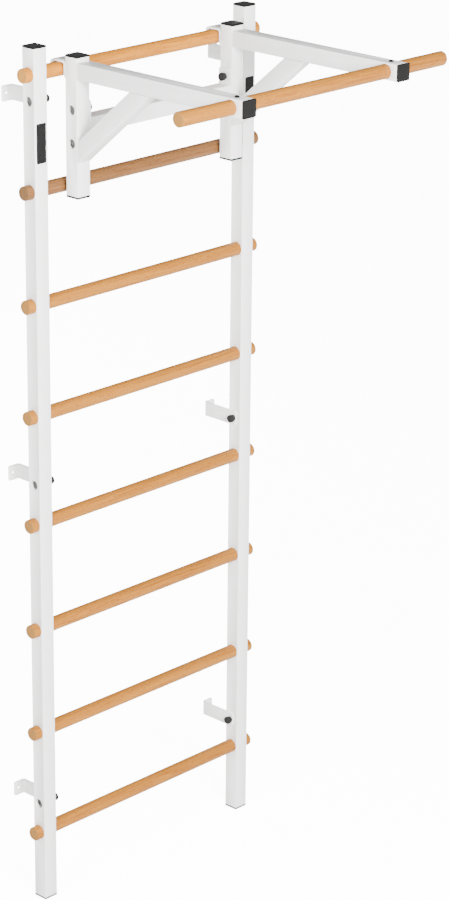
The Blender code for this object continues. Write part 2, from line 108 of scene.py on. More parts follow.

# %% [markdown]
# ## Colours and nodes
#
# Colours are picked from an sRGB chart, but the renderer adds light in
# linear values, so one function turns a hex colour into linear numbers. Nodes
# could be added with one line for the node, one for each setting and one for
# each link. One small function that takes a node's settings and what feeds
# each of its sockets keeps a material to a few lines that read from top to
# bottom.

# %% Turn a hex colour to linear, and add a node
def linear(hex_colour):
    """Linear RGBA of an sRGB colour such as '#D8A76F', by the sRGB standard's curve."""
    parts = [int(hex_colour[i:i + 2], 16) / 255 for i in (1, 3, 5)]
    return tuple(c / 12.92 if c <= 0.04045 else ((c + 0.055) / 1.055) ** 2.4 for c in parts) + (1.0,)


def add_node(tree, kind, inputs=None, **settings):
    """Adds a node, a shader one by its short kind; each input takes a value or the socket that feeds it."""
    node = tree.nodes.new(kind if "Node" in kind else "ShaderNode" + kind)
    for name, value in settings.items():
        setattr(node, name, value)
    for name, value in (inputs or {}).items():
        if isinstance(value, bpy.types.NodeSocket):
            tree.links.new(value, node.inputs[name])
        else:
            node.inputs[name].default_value = value
    return node


def start_finish(name, **surface):
    """A new material: itself, its nodes, its surface shader, and the place on the piece in metres."""
    finish = bpy.data.materials.new(name)
    finish.use_nodes = True
    shader = finish.node_tree.nodes["Principled BSDF"]
    for socket, value in surface.items():
        shader.inputs[socket.replace("_", " ")].default_value = value
    place = add_node(finish.node_tree, "TexCoord").outputs["Object"]
    return finish, finish.node_tree, shader, place


def across_mm(size):
    """Texture scale that repeats about every size millimetres."""
    return 1000.0 / size


NOISE_SPAN = {"From Min": 0.3, "From Max": 0.7}   # nearly all of a noise's values lie between these
print("beech mid tone is", [round(c, 3) for c in linear("#A66D25")[:3]])

# %% [markdown]
# ## Powder-coated steel
#
# The posts, arms, braces, hooks and brackets are welded mild steel under white
# polyester powder, which is sprayed on dry and baked. It melts to an even skin
# with a faint orange peel, so its gloss breaks up softly and its edges have
# no hard line. Paint could be one flat white, but the eye takes that for
# plaster. Here a fine peel breaks up the gloss and moves the light, and a
# broad slow wave makes the film a little warmer where it lies thin.

# %% Mix the powder coat
POWDER_PEEL = 2.2      # mm; the real peel is near 1 mm, drawn coarser so that it shows
POWDER_WAVE = 45.0     # mm, slow thickness change along a tube

powder_coated_steel, tree, shader, place = start_finish(
    "powder_coated_steel", Roughness=0.42, IOR=1.5)
wave = add_node(tree, "TexNoise", {"Vector": place, "Scale": across_mm(POWDER_WAVE), "Detail": 2.0})
peel = add_node(tree, "TexNoise", {"Vector": place, "Scale": across_mm(POWDER_PEEL), "Detail": 1.0})
film = add_node(tree, "MapRange", {"Value": wave.outputs["Fac"], **NOISE_SPAN})
tint = add_node(tree, "Mix", {"Factor": film.outputs["Result"], "A": linear("#F0F0EE"),
                              "B": linear("#F4F4F3")}, data_type="RGBA")
gloss = add_node(tree, "MapRange", {"Value": peel.outputs["Fac"], **NOISE_SPAN,
                                    "To Min": 0.36, "To Max": 0.48})
bump = add_node(tree, "Bump", {"Height": peel.outputs["Fac"], "Strength": 0.12, "Distance": 0.0002})
tree.links.new(tint.outputs["Result"], shader.inputs["Base Color"])
tree.links.new(gloss.outputs["Result"], shader.inputs["Roughness"])
tree.links.new(bump.outputs["Normal"], shader.inputs["Normal"])
print("powder coat: peel every", POWDER_PEEL, "mm")

# %% [markdown]
# ## Beech
#
# The rungs and the pull-up bar are turned from steamed beech and oiled.
# Beech is pinkish tan with close growth bands, and short darker flecks where
# its rays are cut. The end of a rod shows the bands end on and drinks more
# oil, so it is darker and duller. The grain could be painted on the
# outside of each rod. It is set in the solid wood instead: bands, streaks and
# flecks are all cut by the rod's surface, as on the lathe, so the sides and
# the ends agree. Two rungs get their own copy of the beech: one mixed darker
# as painted shade, the shade under the pull-up frame, and the top one mixed
# paler as painted light.

# %% Draw the grain of the beech
GROWTH_BAND = 5.0      # mm; real bands are near 2 mm, drawn coarser so that they show
BAND_LENGTH = 60.0     # mm, over which a band swells and thins
BAND_SLANT = radians(35)
STREAK_WIDTH = 2.6     # mm across the rod
STREAK_LENGTH = 140.0  # mm along it
FLECK_WIDTH = 1.1      # mm; real flecks are 0.5 mm wide and 2 to 3 mm long
FLECK_LENGTH = 9.0     # mm
WANDER_WIDTH = 60.0    # mm across the rod, in the slow wander of the fibres
WANDER_LENGTH = 420.0  # mm along it
WANDER_REACH = 0.030   # how far the fibres stray
BOARD_CHANGE = (0.6, 4.0, 9.0)   # changes of tone in a metre along X, Y and Z


def rod_scale(length, width):
    """Texture scale for marks of that length along a rod and that width across it, in millimetres."""
    return across_mm(length), across_mm(width), across_mm(width)


def beech_grain(tree, place):
    """The noises of growth bands, streaks and ray flecks, and of the slow change of tone."""
    # The fibres wander, and the bands and streaks go with them
    wander = add_node(tree, "Mapping", {"Vector": place, "Scale": rod_scale(WANDER_LENGTH, WANDER_WIDTH)})
    drift = add_node(tree, "TexNoise", {"Vector": wander.outputs["Vector"], "Scale": 1.0, "Detail": 2.0})
    shift = add_node(tree, "VectorMath", {0: drift.outputs["Color"], "Scale": WANDER_REACH},
                     operation="SCALE")
    bent = add_node(tree, "VectorMath", {0: place, 1: shift.outputs["Vector"]}, operation="ADD")
    band_space = add_node(tree, "Mapping", {
        "Vector": bent.outputs["Vector"], "Rotation": (BAND_SLANT, 0.0, 0.0),
        "Scale": (0.0, across_mm(GROWTH_BAND), across_mm(BAND_LENGTH))})
    bands = add_node(tree, "TexNoise", {
        "Vector": band_space.outputs["Vector"], "Scale": 1.0, "Detail": 2.0})
    streak_space = add_node(tree, "Mapping", {
        "Vector": bent.outputs["Vector"], "Scale": rod_scale(STREAK_LENGTH, STREAK_WIDTH)})
    streaks = add_node(tree, "TexNoise", {
        "Vector": streak_space.outputs["Vector"], "Scale": 1.0, "Detail": 3.0, "Roughness": 0.6})
    fleck_space = add_node(tree, "Mapping", {
        "Vector": place, "Scale": rod_scale(FLECK_LENGTH, FLECK_WIDTH)})
    flecks = add_node(tree, "TexNoise", {
        "Vector": fleck_space.outputs["Vector"], "Scale": 1.0, "Detail": 1.0})
    # The tone also drifts slowly from rod to rod
    board_space = add_node(tree, "Mapping", {"Vector": place, "Scale": BOARD_CHANGE})
    wood_tone = add_node(tree, "TexNoise", {
        "Vector": board_space.outputs["Vector"], "Scale": 1.0, "Detail": 1.0})
    return [noise.outputs["Fac"] for noise in (bands, streaks, flecks, wood_tone)]


print("beech: bands every", GROWTH_BAND, "mm, streaks", STREAK_LENGTH, "mm long")

# %% Mix the beech
END_FROM, END_FULL = 0.75, 0.95  # how squarely a face looks along X where the end's colour comes in
END_SHARE = 0.55


def beech_finish(name, richness, painted_lightness):
    """Oiled beech, richer or paler in colour, and made lighter as painted light or darker as painted shade.
    """
    finish, tree, shader, place = start_finish(name, Roughness=0.6, IOR=1.5, Specular_IOR_Level=0.12)
    bands, streaks, flecks, wood_tone = beech_grain(tree, place)
    # Each mark comes in between two values of its noise
    marks = []
    for noise, start, full in ((bands, 0.35, 0.65), (streaks, 0.32, 0.68), (flecks, 0.62, 0.72),
                               (wood_tone, 0.35, 0.65)):
        mark = add_node(tree, "MapRange", {"Value": noise, "From Min": start, "From Max": full})
        marks.append(mark.outputs["Result"])
    band_mark, streak_mark, fleck_mark, board_mark = marks
    pale = add_node(tree, "Mix", {"Factor": board_mark, "A": linear("#99601D"), "B": linear("#A66D25")},
                    data_type="RGBA")
    dark = add_node(tree, "Mix", {"Factor": board_mark, "A": linear("#814914"), "B": linear("#8B531A")},
                    data_type="RGBA")
    grained = add_node(tree, "Mix", {"Factor": band_mark, "A": pale.outputs["Result"],
                                     "B": dark.outputs["Result"]}, data_type="RGBA")
    streaked = add_node(tree, "Mix", {"Factor": streak_mark, "A": linear("#A76E28"),
                                      "B": grained.outputs["Result"]}, data_type="RGBA")
    flecked = add_node(tree, "Mix", {"Factor": fleck_mark, "A": streaked.outputs["Result"],
                                     "B": linear("#763F11")}, data_type="RGBA")
    # Only the ends of a rod face along X
    facing = add_node(tree, "SeparateXYZ", {"Vector": add_node(tree, "TexCoord").outputs["Normal"]})
    along_rod = add_node(tree, "Math", {0: facing.outputs["X"]}, operation="ABSOLUTE")
    end_mark = add_node(tree, "MapRange", {"Value": along_rod.outputs["Value"], "From Min": END_FROM,
                                           "From Max": END_FULL, "To Max": END_SHARE})
    wood = add_node(tree, "Mix", {"Factor": end_mark.outputs["Result"], "A": flecked.outputs["Result"],
                                  "B": linear("#8C6A38")}, data_type="RGBA")
    gloss = add_node(tree, "MapRange", {"Value": streaks, **NOISE_SPAN, "To Min": 0.38, "To Max": 0.52})
    bump = add_node(tree, "Bump", {"Height": streaks, "Strength": 0.15, "Distance": 0.0003})
    # The lightness setting makes the whole rod lighter or darker: painted light or painted shade
    tone = add_node(tree, "HueSaturation", {"Color": wood.outputs["Result"], "Saturation": richness,
                                            "Value": painted_lightness})
    tree.links.new(tone.outputs["Color"], shader.inputs["Base Color"])
    tree.links.new(gloss.outputs["Result"], shader.inputs["Roughness"])
    tree.links.new(bump.outputs["Normal"], shader.inputs["Normal"])
    return finish


beech = beech_finish("oiled_beech", 1.0, 1.0)
# The darker copy is painted shade for the rung under the pull-up frame, the paler one painted light for the
# top rung
beech_painted_shade = beech_finish("oiled_beech_dark_board", 0.9, 0.52)
beech_painted_light = beech_finish("oiled_beech_pale_board", 1.02, 1.4)
print("boards:", beech.name, beech_painted_shade.name, beech_painted_light.name)

# %% [markdown]
# ## Moulded plastic, rubber and zinc
#
# The caps are black polypropylene and the knobs black nylon, both from moulds
# whose walls are spark-eroded, which leaves a fine even grain and a half-matt
# surface. The knobs' plastic is mixed a little paler than the caps', as painted
# light, because they face sideways, where less light falls. The buffers are
# black rubber, which has hardly any gloss. The bolts are zinc-plated: bright,
# slightly blue, and cloudy rather than mirror-like. Stray powder drifts into
# the tubes through their holes, so a bore is steel under a thin, rough coat.
# The labels are black vinyl film.
# All could share a plain grey with another roughness, but the grain of the
# plastic and the clouding of the zinc are what tell the eye which is which.

# %% Mix the moulded plastic
MOULD_GRAIN = 1.2      # mm; the real grain is near 0.3 mm, drawn coarser so that it shows
MOULD_CLOUD = 18.0     # mm, slow change of tone across a moulding


def moulded_black(name, ior, dark_tint, light_tint):
    """A black plastic with a spark-eroded grain."""
    finish, tree, shader, place = start_finish(name, Roughness=0.5, IOR=ior, Specular_IOR_Level=0.1)
    grain = add_node(tree, "TexNoise", {"Vector": place, "Scale": across_mm(MOULD_GRAIN), "Detail": 2.0})
    cloud = add_node(tree, "TexNoise", {"Vector": place, "Scale": across_mm(MOULD_CLOUD), "Detail": 2.0})
    tint = add_node(tree, "Mix", {"Factor": cloud.outputs["Fac"], "A": linear(dark_tint),
                                  "B": linear(light_tint)}, data_type="RGBA")
    gloss = add_node(tree, "MapRange", {"Value": grain.outputs["Fac"], **NOISE_SPAN,
                                        "To Min": 0.42, "To Max": 0.58})
    bump = add_node(tree, "Bump", {"Height": grain.outputs["Fac"], "Strength": 0.2, "Distance": 0.0002})
    tree.links.new(tint.outputs["Result"], shader.inputs["Base Color"])
    tree.links.new(gloss.outputs["Result"], shader.inputs["Roughness"])
    tree.links.new(bump.outputs["Normal"], shader.inputs["Normal"])
    return finish


moulded_plastic = moulded_black("moulded_polypropylene", 1.49, "#131313", "#181817")
# The knobs' copy is paler than the caps' as painted light: they face sideways, where less light falls
moulded_nylon = moulded_black("moulded_nylon", 1.53, "#1E1E1D", "#262625")
print("moulded plastic: grain every", MOULD_GRAIN, "mm")

# %% Mix the rubber
RUBBER_BLOOM = 9.0     # mm, patches of grey bloom

rubber, tree, shader, place = start_finish("black_rubber", Roughness=0.85, IOR=1.52, Specular_IOR_Level=0.1)
bloom = add_node(tree, "TexNoise", {"Vector": place, "Scale": across_mm(RUBBER_BLOOM), "Detail": 4.0})
tint = add_node(tree, "Mix", {"Factor": bloom.outputs["Fac"], "A": linear("#151515"),
                              "B": linear("#2A2A2A")}, data_type="RGBA")
bump = add_node(tree, "Bump", {"Height": bloom.outputs["Fac"], "Strength": 0.25, "Distance": 0.0003})
tree.links.new(tint.outputs["Result"], shader.inputs["Base Color"])
tree.links.new(bump.outputs["Normal"], shader.inputs["Normal"])
print("rubber: bloom in patches of", RUBBER_BLOOM, "mm")

# %% Mix the zinc plate
ZINC_CLOUD = 3.0       # mm, clouds in the plating

zinc_plated_steel, tree, shader, place = start_finish("zinc_plated_steel", Metallic=1.0, Roughness=0.3)
cloud = add_node(tree, "TexNoise", {"Vector": place, "Scale": across_mm(ZINC_CLOUD), "Detail": 3.0})
tint = add_node(tree, "Mix", {"Factor": cloud.outputs["Fac"], "A": linear("#B9BDC2"),
                              "B": linear("#DADAD6")}, data_type="RGBA")
gloss = add_node(tree, "MapRange", {"Value": cloud.outputs["Fac"], **NOISE_SPAN,
                                    "To Min": 0.22, "To Max": 0.4})
tree.links.new(tint.outputs["Result"], shader.inputs["Base Color"])
tree.links.new(gloss.outputs["Result"], shader.inputs["Roughness"])
print("zinc plate: clouds of", ZINC_CLOUD, "mm")

# %% Mix the steel of the bores, under stray powder
DUST_PATCH = 6.0       # mm, patches where the powder lies thicker

dusted_steel, tree, shader, place = start_finish("dusted_steel", Roughness=0.65, IOR=1.5,
                                                 Specular_IOR_Level=0.3)
patch = add_node(tree, "TexNoise", {"Vector": place, "Scale": across_mm(DUST_PATCH), "Detail": 3.0})
tint = add_node(tree, "Mix", {"Factor": patch.outputs["Fac"], "A": linear("#EDECE9"),
                              "B": linear("#F6F6F4")}, data_type="RGBA")
bump = add_node(tree, "Bump", {"Height": patch.outputs["Fac"], "Strength": 0.2, "Distance": 0.0002})
tree.links.new(tint.outputs["Result"], shader.inputs["Base Color"])
tree.links.new(bump.outputs["Normal"], shader.inputs["Normal"])
print("stray powder: patches of", DUST_PATCH, "mm")

# %% Mix the label film
FILM_HAZE = 14.0       # mm, slow change of gloss over the film

label_film, tree, shader, place = start_finish("black_vinyl_film", Roughness=0.4, IOR=1.5,
                                               Specular_IOR_Level=0.1)
haze = add_node(tree, "TexNoise", {"Vector": place, "Scale": across_mm(FILM_HAZE), "Detail": 3.0})
tint = add_node(tree, "Mix", {"Factor": haze.outputs["Fac"], "A": linear("#121212"),
                              "B": linear("#171717")}, data_type="RGBA")
gloss = add_node(tree, "MapRange", {"Value": haze.outputs["Fac"], **NOISE_SPAN,
                                    "To Min": 0.3, "To Max": 0.42})
tree.links.new(tint.outputs["Result"], shader.inputs["Base Color"])
tree.links.new(gloss.outputs["Result"], shader.inputs["Roughness"])
print("materials in the file, with those of the solids:", len(bpy.data.materials))

# %% [markdown]
# ## Dressing the solids
#
# The tubes, hooks and buffers already have their real shape, so they keep
# their solids. A solid has razor edges and flat facets on its bends, though,
# and paint has neither. The edges could be filed round in the mesh, but then
# it would no longer be the solid. Three modifiers do it instead: one joins the
# corners that faces share, one rounds each sharp edge by a third of a
# millimetre, and one shades the bends smoothly wherever two faces meet at a
# shallow angle.

# %% Give every solid its finish
FINISH_OF_SLOT = {"white_steel": powder_coated_steel, "beech": beech, "black_plastic": moulded_plastic,
                  "black_rubber": rubber, "zinc_steel": zinc_plated_steel}

solids = dict(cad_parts)
finished = set()
for name, solid in solids.items():
    for slot in solid.material_slots:
        for key, finish in FINISH_OF_SLOT.items():
            if slot.material and key in slot.material.name:
                slot.material = finish
                finished.add(name)
print("finished solids:", len(finished), "of", len(solids))

# %% Shade the bends smoothly
SMOOTH_BELOW = radians(34)   # faces that meet at less than this are one bend

smooth_bends = bpy.data.node_groups.new("smooth_bends", "GeometryNodeTree")
for way in ("INPUT", "OUTPUT"):
    smooth_bends.interface.new_socket("Geometry", in_out=way, socket_type="NodeSocketGeometry")
shape_in = add_node(smooth_bends, "NodeGroupInput")
faces = add_node(smooth_bends, "GeometryNodeSetShadeSmooth", {"Geometry": shape_in.outputs["Geometry"]})
bend = add_node(smooth_bends, "GeometryNodeInputMeshEdgeAngle")
shallow = add_node(smooth_bends, "FunctionNodeCompare", {
    "A": bend.outputs["Unsigned Angle"], "B": SMOOTH_BELOW}, operation="LESS_THAN")
edges = add_node(smooth_bends, "GeometryNodeSetShadeSmooth", {
    "Geometry": faces.outputs["Geometry"], "Shade Smooth": shallow.outputs["Result"]}, domain="EDGE")
add_node(smooth_bends, "NodeGroupOutput", {"Geometry": edges.outputs["Geometry"]})
print("bends are shaded smooth below", round(degrees(SMOOTH_BELOW)), "degrees")

# %% Soften the steel and the rubber that keep their solids
EDGE_ROUND = 0.0003
SAME_POINT = 0.00001   # points closer than this are one


def soften(solid):
    """Rounds the sharp edges of a solid and shades its bends smoothly."""
    weld = solid.modifiers.new("weld", "WELD")
    weld.merge_threshold = SAME_POINT
    bevel = solid.modifiers.new("edge_round", "BEVEL")
    bevel.width = EDGE_ROUND
    bevel.segments = 2
    bevel.limit_method = "ANGLE"
    bevel.angle_limit = SMOOTH_BELOW
    shade = solid.modifiers.new("smooth_bends", "NODES")
    shade.node_group = smooth_bends


kept_solids = ["crossbar"]
for kind in ("upright", "frame_tube", "arm", "brace", "hook", "buffer"):
    kept_solids += [kind + "_left", kind + "_right"]
for name in kept_solids:
    soften(solids[name])
print("solids that keep their shape:", len(kept_solids))

# %% [markdown]
# ## Turned pieces
#
# Rungs, knobs, bolts and screws are round because they spin in a lathe or
# come from a turned mould. They could be cylinders with a bevel. Here an
# outline is turned about an axis, which gives each its own profile in one
# step, with edges of the right softness. The turning is a skin laid over
# rings of points, and the same skin later makes the square caps.

# %% A skin over rings of points
def make_piece(name, shape, finish, body, replaced=()):
    """Links a bmesh as a piece that rides on a body and stands for the named solids."""
    mesh = bpy.data.meshes.new(name)
    bmesh.ops.recalc_face_normals(shape, faces=shape.faces[:])
    shape.to_mesh(mesh)
    shape.free()
    mesh.materials.append(finish)
    piece = bpy.data.objects.new(name, mesh)
    bpy.context.scene.collection.objects.link(piece)
    shade = piece.modifiers.new("smooth_bends", "NODES")
    shade.node_group = smooth_bends
    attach(piece, body)
    if replaced:
        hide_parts(*replaced)
    return piece


def skin(shape, rings):
    """Lays faces over rings of points; a ring of one point closes an end."""
    rows = [[shape.verts.new(point) for point in ring] for ring in rings]
    for a, b in zip(rows, rows[1:]):
        for i in range(max(len(a), len(b))):
            corners = [a[i % len(a)], a[(i + 1) % len(a)], b[(i + 1) % len(b)], b[i % len(b)]]
            corners = list(dict.fromkeys(corners))
            if len(corners) > 2:
                shape.faces.new(corners)


print("every new piece gets the modifier", smooth_bends.name)

# %% A lathe
TURN_STEPS = 72        # flats round a rod


def ring_radius(radius, flats, angle):
    """Distance to the rim of a circle, or of a nut with that many flats."""
    if not flats:
        return radius
    half = pi / flats
    return radius / cos((angle + half) % (2 * half) - half)


def turn(shape, outline, start, axis, steps=TURN_STEPS):
    """Turns an outline of (distance along the axis, radius), with a count of flats where it has any."""
    axis = Vector(axis).normalized()
    side = axis.orthogonal().normalized()
    other = axis.cross(side)
    angles = [2 * pi * i / steps for i in range(steps)]
    rings = []
    for along, radius, *flats in outline:
        centre = Vector(start) + axis * along
        ring = [centre]
        if radius:
            ring = []
            for angle in angles:
                reach = ring_radius(radius, flats[0] if flats else 0, angle)
                ring.append(centre + reach * (side * cos(angle) + other * sin(angle)))
        rings.append(ring)
    skin(shape, rings)


print("a rod has", TURN_STEPS, "flats")

# %% Find the place of a piece and the body it belongs to
def middle_of(name):
    """Centre and size of a solid."""
    low, high = (Vector(corner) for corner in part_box(name))
    return (low + high) / 2, high - low


def body_of(name):
    """The body that a solid belongs to."""
    on_the_wall = name.startswith(("upright", "foot", "rung", "bracket", "wall_bracket"))
    return "wall_bars" if on_the_wall else "pull_up_frame"


print("a rung measures", [round(side, 3) for side in middle_of("rung_1")[1]], "m")

# %% Turn the rungs and the pull-up bar
ROD_END_ROUND = 0.0018
ROUND_STEPS = 5        # steps over a soft edge
END_RING = 0.45        # share of the radius, a ring on the end that keeps its faces even
PAINTED_SHADE_RUNG = "rung_7"   # mixed darker: painted shade under the pull-up frame
PAINTED_LIGHT_RUNG = "rung_8"   # mixed paler: painted light on the top rung


def rounded_corner(along, radius, size, begin, end):
    """Points of a round of the given size about (along, radius), from one angle to another in degrees."""
    angles = [radians(begin + (end - begin) * k / ROUND_STEPS) for k in range(ROUND_STEPS + 1)]
    return [(along + size * cos(angle), radius + size * sin(angle)) for angle in angles]


def beech_rod(name):
    """A beech rod in place of the solid of that name."""
    centre, size = middle_of(name)
    radius, length, soft = size.y / 2, size.x, ROD_END_ROUND
    outline = [(0, 0), (0, radius * END_RING)]
    outline += rounded_corner(soft, radius - soft, soft, 180, 90)
    outline += rounded_corner(length - soft, radius - soft, soft, 90, 0)
    outline += [(length, radius * END_RING), (length, 0)]
    shape = bmesh.new()
    turn(shape, outline, centre - Vector((length / 2, 0, 0)), (1, 0, 0))
    # Two rungs take the painted copies: painted shade on one, painted light on the top one
    wood_tone = {PAINTED_SHADE_RUNG: beech_painted_shade, PAINTED_LIGHT_RUNG: beech_painted_light}.get(name, beech)
    return make_piece("turned_" + name, shape, wood_tone, body_of(name), (name,))


rods = [name for name in solids if name.startswith("rung_")] + ["pull_up_bar"]
for name in rods:
    beech_rod(name)
print(len(rods), "rods are", round(middle_of("rung_1")[1].y * 1000, 1), "mm thick")

# %% [markdown]
# ## Knobs, bolts and screws
#
# Each joint has a socket bolt on one side and a moulded knob nut on the other.
# The knob stands on a narrower foot and has a soft shoulder and a faint dish
# in its crown, where plastic shrinks as it cools. The bolt's head has a
# hexagon socket, and shows only through the access hole of its tube. Plain
# discs would do from far off, but the shoulder, the foot and the socket are
# what a close look finds.

# %% Mould the knobs
SMALL_STEPS = 48       # flats round a fastener


def in_metres(outline):
    """An outline given in millimetres, in metres."""
    return [(along / 1000, radius / 1000, *flats) for along, radius, *flats in outline]


KNOB_OUTLINE = in_metres([
    (0, 0), (0, 7.7), (0.3, 8.1), (2.6, 8.3), (4.2, 8.9), (5.4, 9.6), (6.2, 9.9), (7.0, 10), (12.2, 10),
    (13.1, 9.8), (13.9, 9.3), (14.5, 8.5), (14.8, 7.5), (14.75, 6.4), (14.5, 4), (14.3, 2), (14.25, 0)])


def outer_end(name):
    """The end of a fastener that lies farther from the middle, and the way inward from it."""
    centre, size = middle_of(name)
    inward = Vector((1 if centre.x < 0 else -1, 0, 0))
    return centre - inward * size.x / 2, inward


def knob(name):
    """A moulded knob nut in place of the solid of that name, on the same seat."""
    start, inward = outer_end(name)
    shape = bmesh.new()
    turn(shape, KNOB_OUTLINE, start, inward, SMALL_STEPS)
    return make_piece("moulded_" + name, shape, moulded_nylon, body_of(name), (name,))


print("a knob stands", round(max(along for along, *_ in KNOB_OUTLINE) * 1000, 1), "mm high")

# %% Turn the bolts
HEAD_OUTLINE = in_metres([
    (3.0, 0), (3.0, 2.9, 6), (0.2, 3.0, 6), (0, 3.2, 6), (0, 5.7), (0.1, 6.1), (0.4, 6.4), (0.9, 6.5),
    (4.8, 6.5), (5.0, 6.3), (5.0, 4.2), (5.2, 4.0)])
SHANK_RADIUS = 0.004
POINT_LENGTH = 0.0008  # of the chamfer at a bolt's or screw's point
POINT_RADIUS = 0.0033


def socket_bolt(name):
    """A socket bolt in place of the solid of that name."""
    start, inward = outer_end(name)
    length = middle_of(name)[1].x
    shank = [(length - POINT_LENGTH, SHANK_RADIUS), (length, POINT_RADIUS), (length, 0)]
    shape = bmesh.new()
    turn(shape, HEAD_OUTLINE + shank, start, inward, SMALL_STEPS)
    return make_piece("turned_" + name, shape, zinc_plated_steel, body_of(name), (name,))


print("a bolt's shank is", SHANK_RADIUS * 2000, "mm thick")

# %% Turn the dome screws of the pull-up bar, and fit every fastener
DOME_OUTLINE = in_metres([
    (2.4, 0), (2.4, 1.9, 6), (0.2, 2.0, 6), (0.05, 2.2, 6), (0.2, 2.9), (0.75, 4.0), (1.5, 4.9), (2.5, 5.6),
    (3.5, 5.95), (3.9, 5.9), (4.07, 5.6), (4.07, 2.5)])
SCREW_RADIUS = 0.0025
TIP_RADIUS = 0.0018


def dome_screw(name):
    """A dome screw in place of the solid of that name."""
    centre, size = middle_of(name)
    length = size.z
    tip = [(length - POINT_LENGTH, SCREW_RADIUS), (length, TIP_RADIUS), (length, 0)]
    shape = bmesh.new()
    turn(shape, DOME_OUTLINE + tip, centre + Vector((0, 0, length / 2)), (0, 0, -1), SMALL_STEPS)
    return make_piece("turned_" + name, shape, moulded_plastic, body_of(name), (name,))


fitted = []
for name in solids:
    for kind, fit in (("_knob_", knob), ("_bolt_", socket_bolt), ("bar_screw_", dome_screw)):
        if kind in name:
            fit(name)
            fitted.append(name)
print("fasteners fitted:", len(fitted))

# %% [markdown]
# ## Tube caps
#
# Every open tube end is closed by a black cap from a mould: a square head with
# a soft rim and a hollow skirt that grips the bore. The head stands a hair
# proud of the tube all round, which gives the black line at each foot. It
# could be a bevelled box. Laying the skin over rounded squares gives the
# soft rim, the thin lip and the hollow skirt together.

# %% Mould the caps
CAP_RINGS = (          # mm: depth from the outer face, half width, corner radius
    (0, 0, 0), (0, 9, 2), (0.03, 19.2, 2), (0.15, 19.9, 2.2), (0.4, 20.25, 2.2), (0.8, 20.4, 2.2),
    (4.6, 20.4, 2.2), (4.8, 20.25, 2.1), (4.8, 20.05, 1.85), (2.5, 20.05, 1.85), (2.5, 17.7, 1.5),
    (14.0, 17.6, 1.5), (14.5, 17.3, 1.5), (14.5, 15.9, 1.2), (2.2, 15.9, 1.2), (2.2, 0, 0))
CORNER_STEPS = 6
ALONG_X, ALONG_Y, ALONG_Z = Vector((1, 0, 0)), Vector((0, 1, 0)), Vector((0, 0, 1))


def rounded_ring(centre, across, along, half_across, half_along, corner):
    """Points of a rounded rectangle about a centre."""
    if not half_across:
        return [centre]
    points = []
    for quarter, (sx, sy) in enumerate(((1, 1), (-1, 1), (-1, -1), (1, -1))):
        for k in range(CORNER_STEPS + 1):
            angle = quarter * pi / 2 + pi / 2 * k / CORNER_STEPS
            points.append(centre + across * (sx * (half_across - corner) + corner * cos(angle))
                          + along * (sy * (half_along - corner) + corner * sin(angle)))
    return points


def tube_cap(name):
    """A moulded cap in place of the solid of that name."""
    centre, size = middle_of(name)
    outward = ALONG_Z
    if name.startswith("arm"):
        outward = -ALONG_Y
    elif "foot" in name:
        outward = -ALONG_Z
    face = centre + outward * abs(size.dot(outward)) / 2
    rings = []
    for depth, half, corner in CAP_RINGS:
        rings.append(rounded_ring(face - outward * depth / 1000, ALONG_X, outward.cross(ALONG_X),
                                  half / 1000, half / 1000, corner / 1000))
    shape = bmesh.new()
    skin(shape, rings)
    return make_piece("moulded_" + name, shape, moulded_plastic, body_of(name), (name,))


caps = [name for name in solids if "cap_" in name]
for name in caps:
    tube_cap(name)
print("caps:", len(caps))

# %% [markdown]
# ## Wall brackets
#
# Each bracket is a strip of steel with two punched holes, folded once: one
# flat takes the bolt, the other the screw into the wall. The folding could be
# done by joining boxes with a bevel. A flat blank is cut out first instead,
# then thickened and bent round a small radius, as in a press, so the outline
# and both holes stay true all the way through.

# %% Cut the blanks of the brackets
STRIP = 0.004
NOSE_REACH = 0.0088    # beyond the bolt's centre
NOSE_CORNER = 0.008
HEEL_CORNER = 0.004
BLANK_STEPS = 8        # round each corner
HOLE_STEPS = 32


def blank_outline(low, high, half):
    """Outline of a flat blank, its nose at low and its heel at high, each with its own corners."""
    points = []
    for end, sign, corner, begin in ((high, 1, HEEL_CORNER, 0), (low, 1, NOSE_CORNER, 90),
                                     (low, -1, NOSE_CORNER, 180), (high, -1, HEEL_CORNER, 270)):
        inset = -corner if end == high else corner
        for k in range(BLANK_STEPS + 1):
            angle = radians(begin + 90 * k / BLANK_STEPS)
            points.append((end + inset + corner * cos(angle), sign * (half - corner) + corner * sin(angle)))
    return points


def punched_blank(low, high, half, holes):
    """A flat blank with round holes, each given as (distance along, radius)."""
    loops = [blank_outline(low, high, half)]
    angles = [2 * pi * k / HOLE_STEPS for k in range(HOLE_STEPS)]
    for along, radius in holes:
        loops.append([(along + radius * cos(angle), radius * sin(angle)) for angle in angles])
    sheet = bmesh.new()
    for loop in loops:
        corners = [sheet.verts.new((along, across, 0)) for along, across in loop]
        for a, b in zip(corners, corners[1:] + corners[:1]):
            sheet.edges.new((a, b))
    bmesh.ops.triangle_fill(sheet, use_beauty=True, edges=sheet.edges[:])
    return sheet


print("a bracket is", STRIP * 1000, "mm thick, and its nose reaches", NOSE_REACH * 1000, "mm past its bolt")

# %% Thicken and fold a blank
FOLD_INSIDE = 0.003
FOLD_STEPS = 8


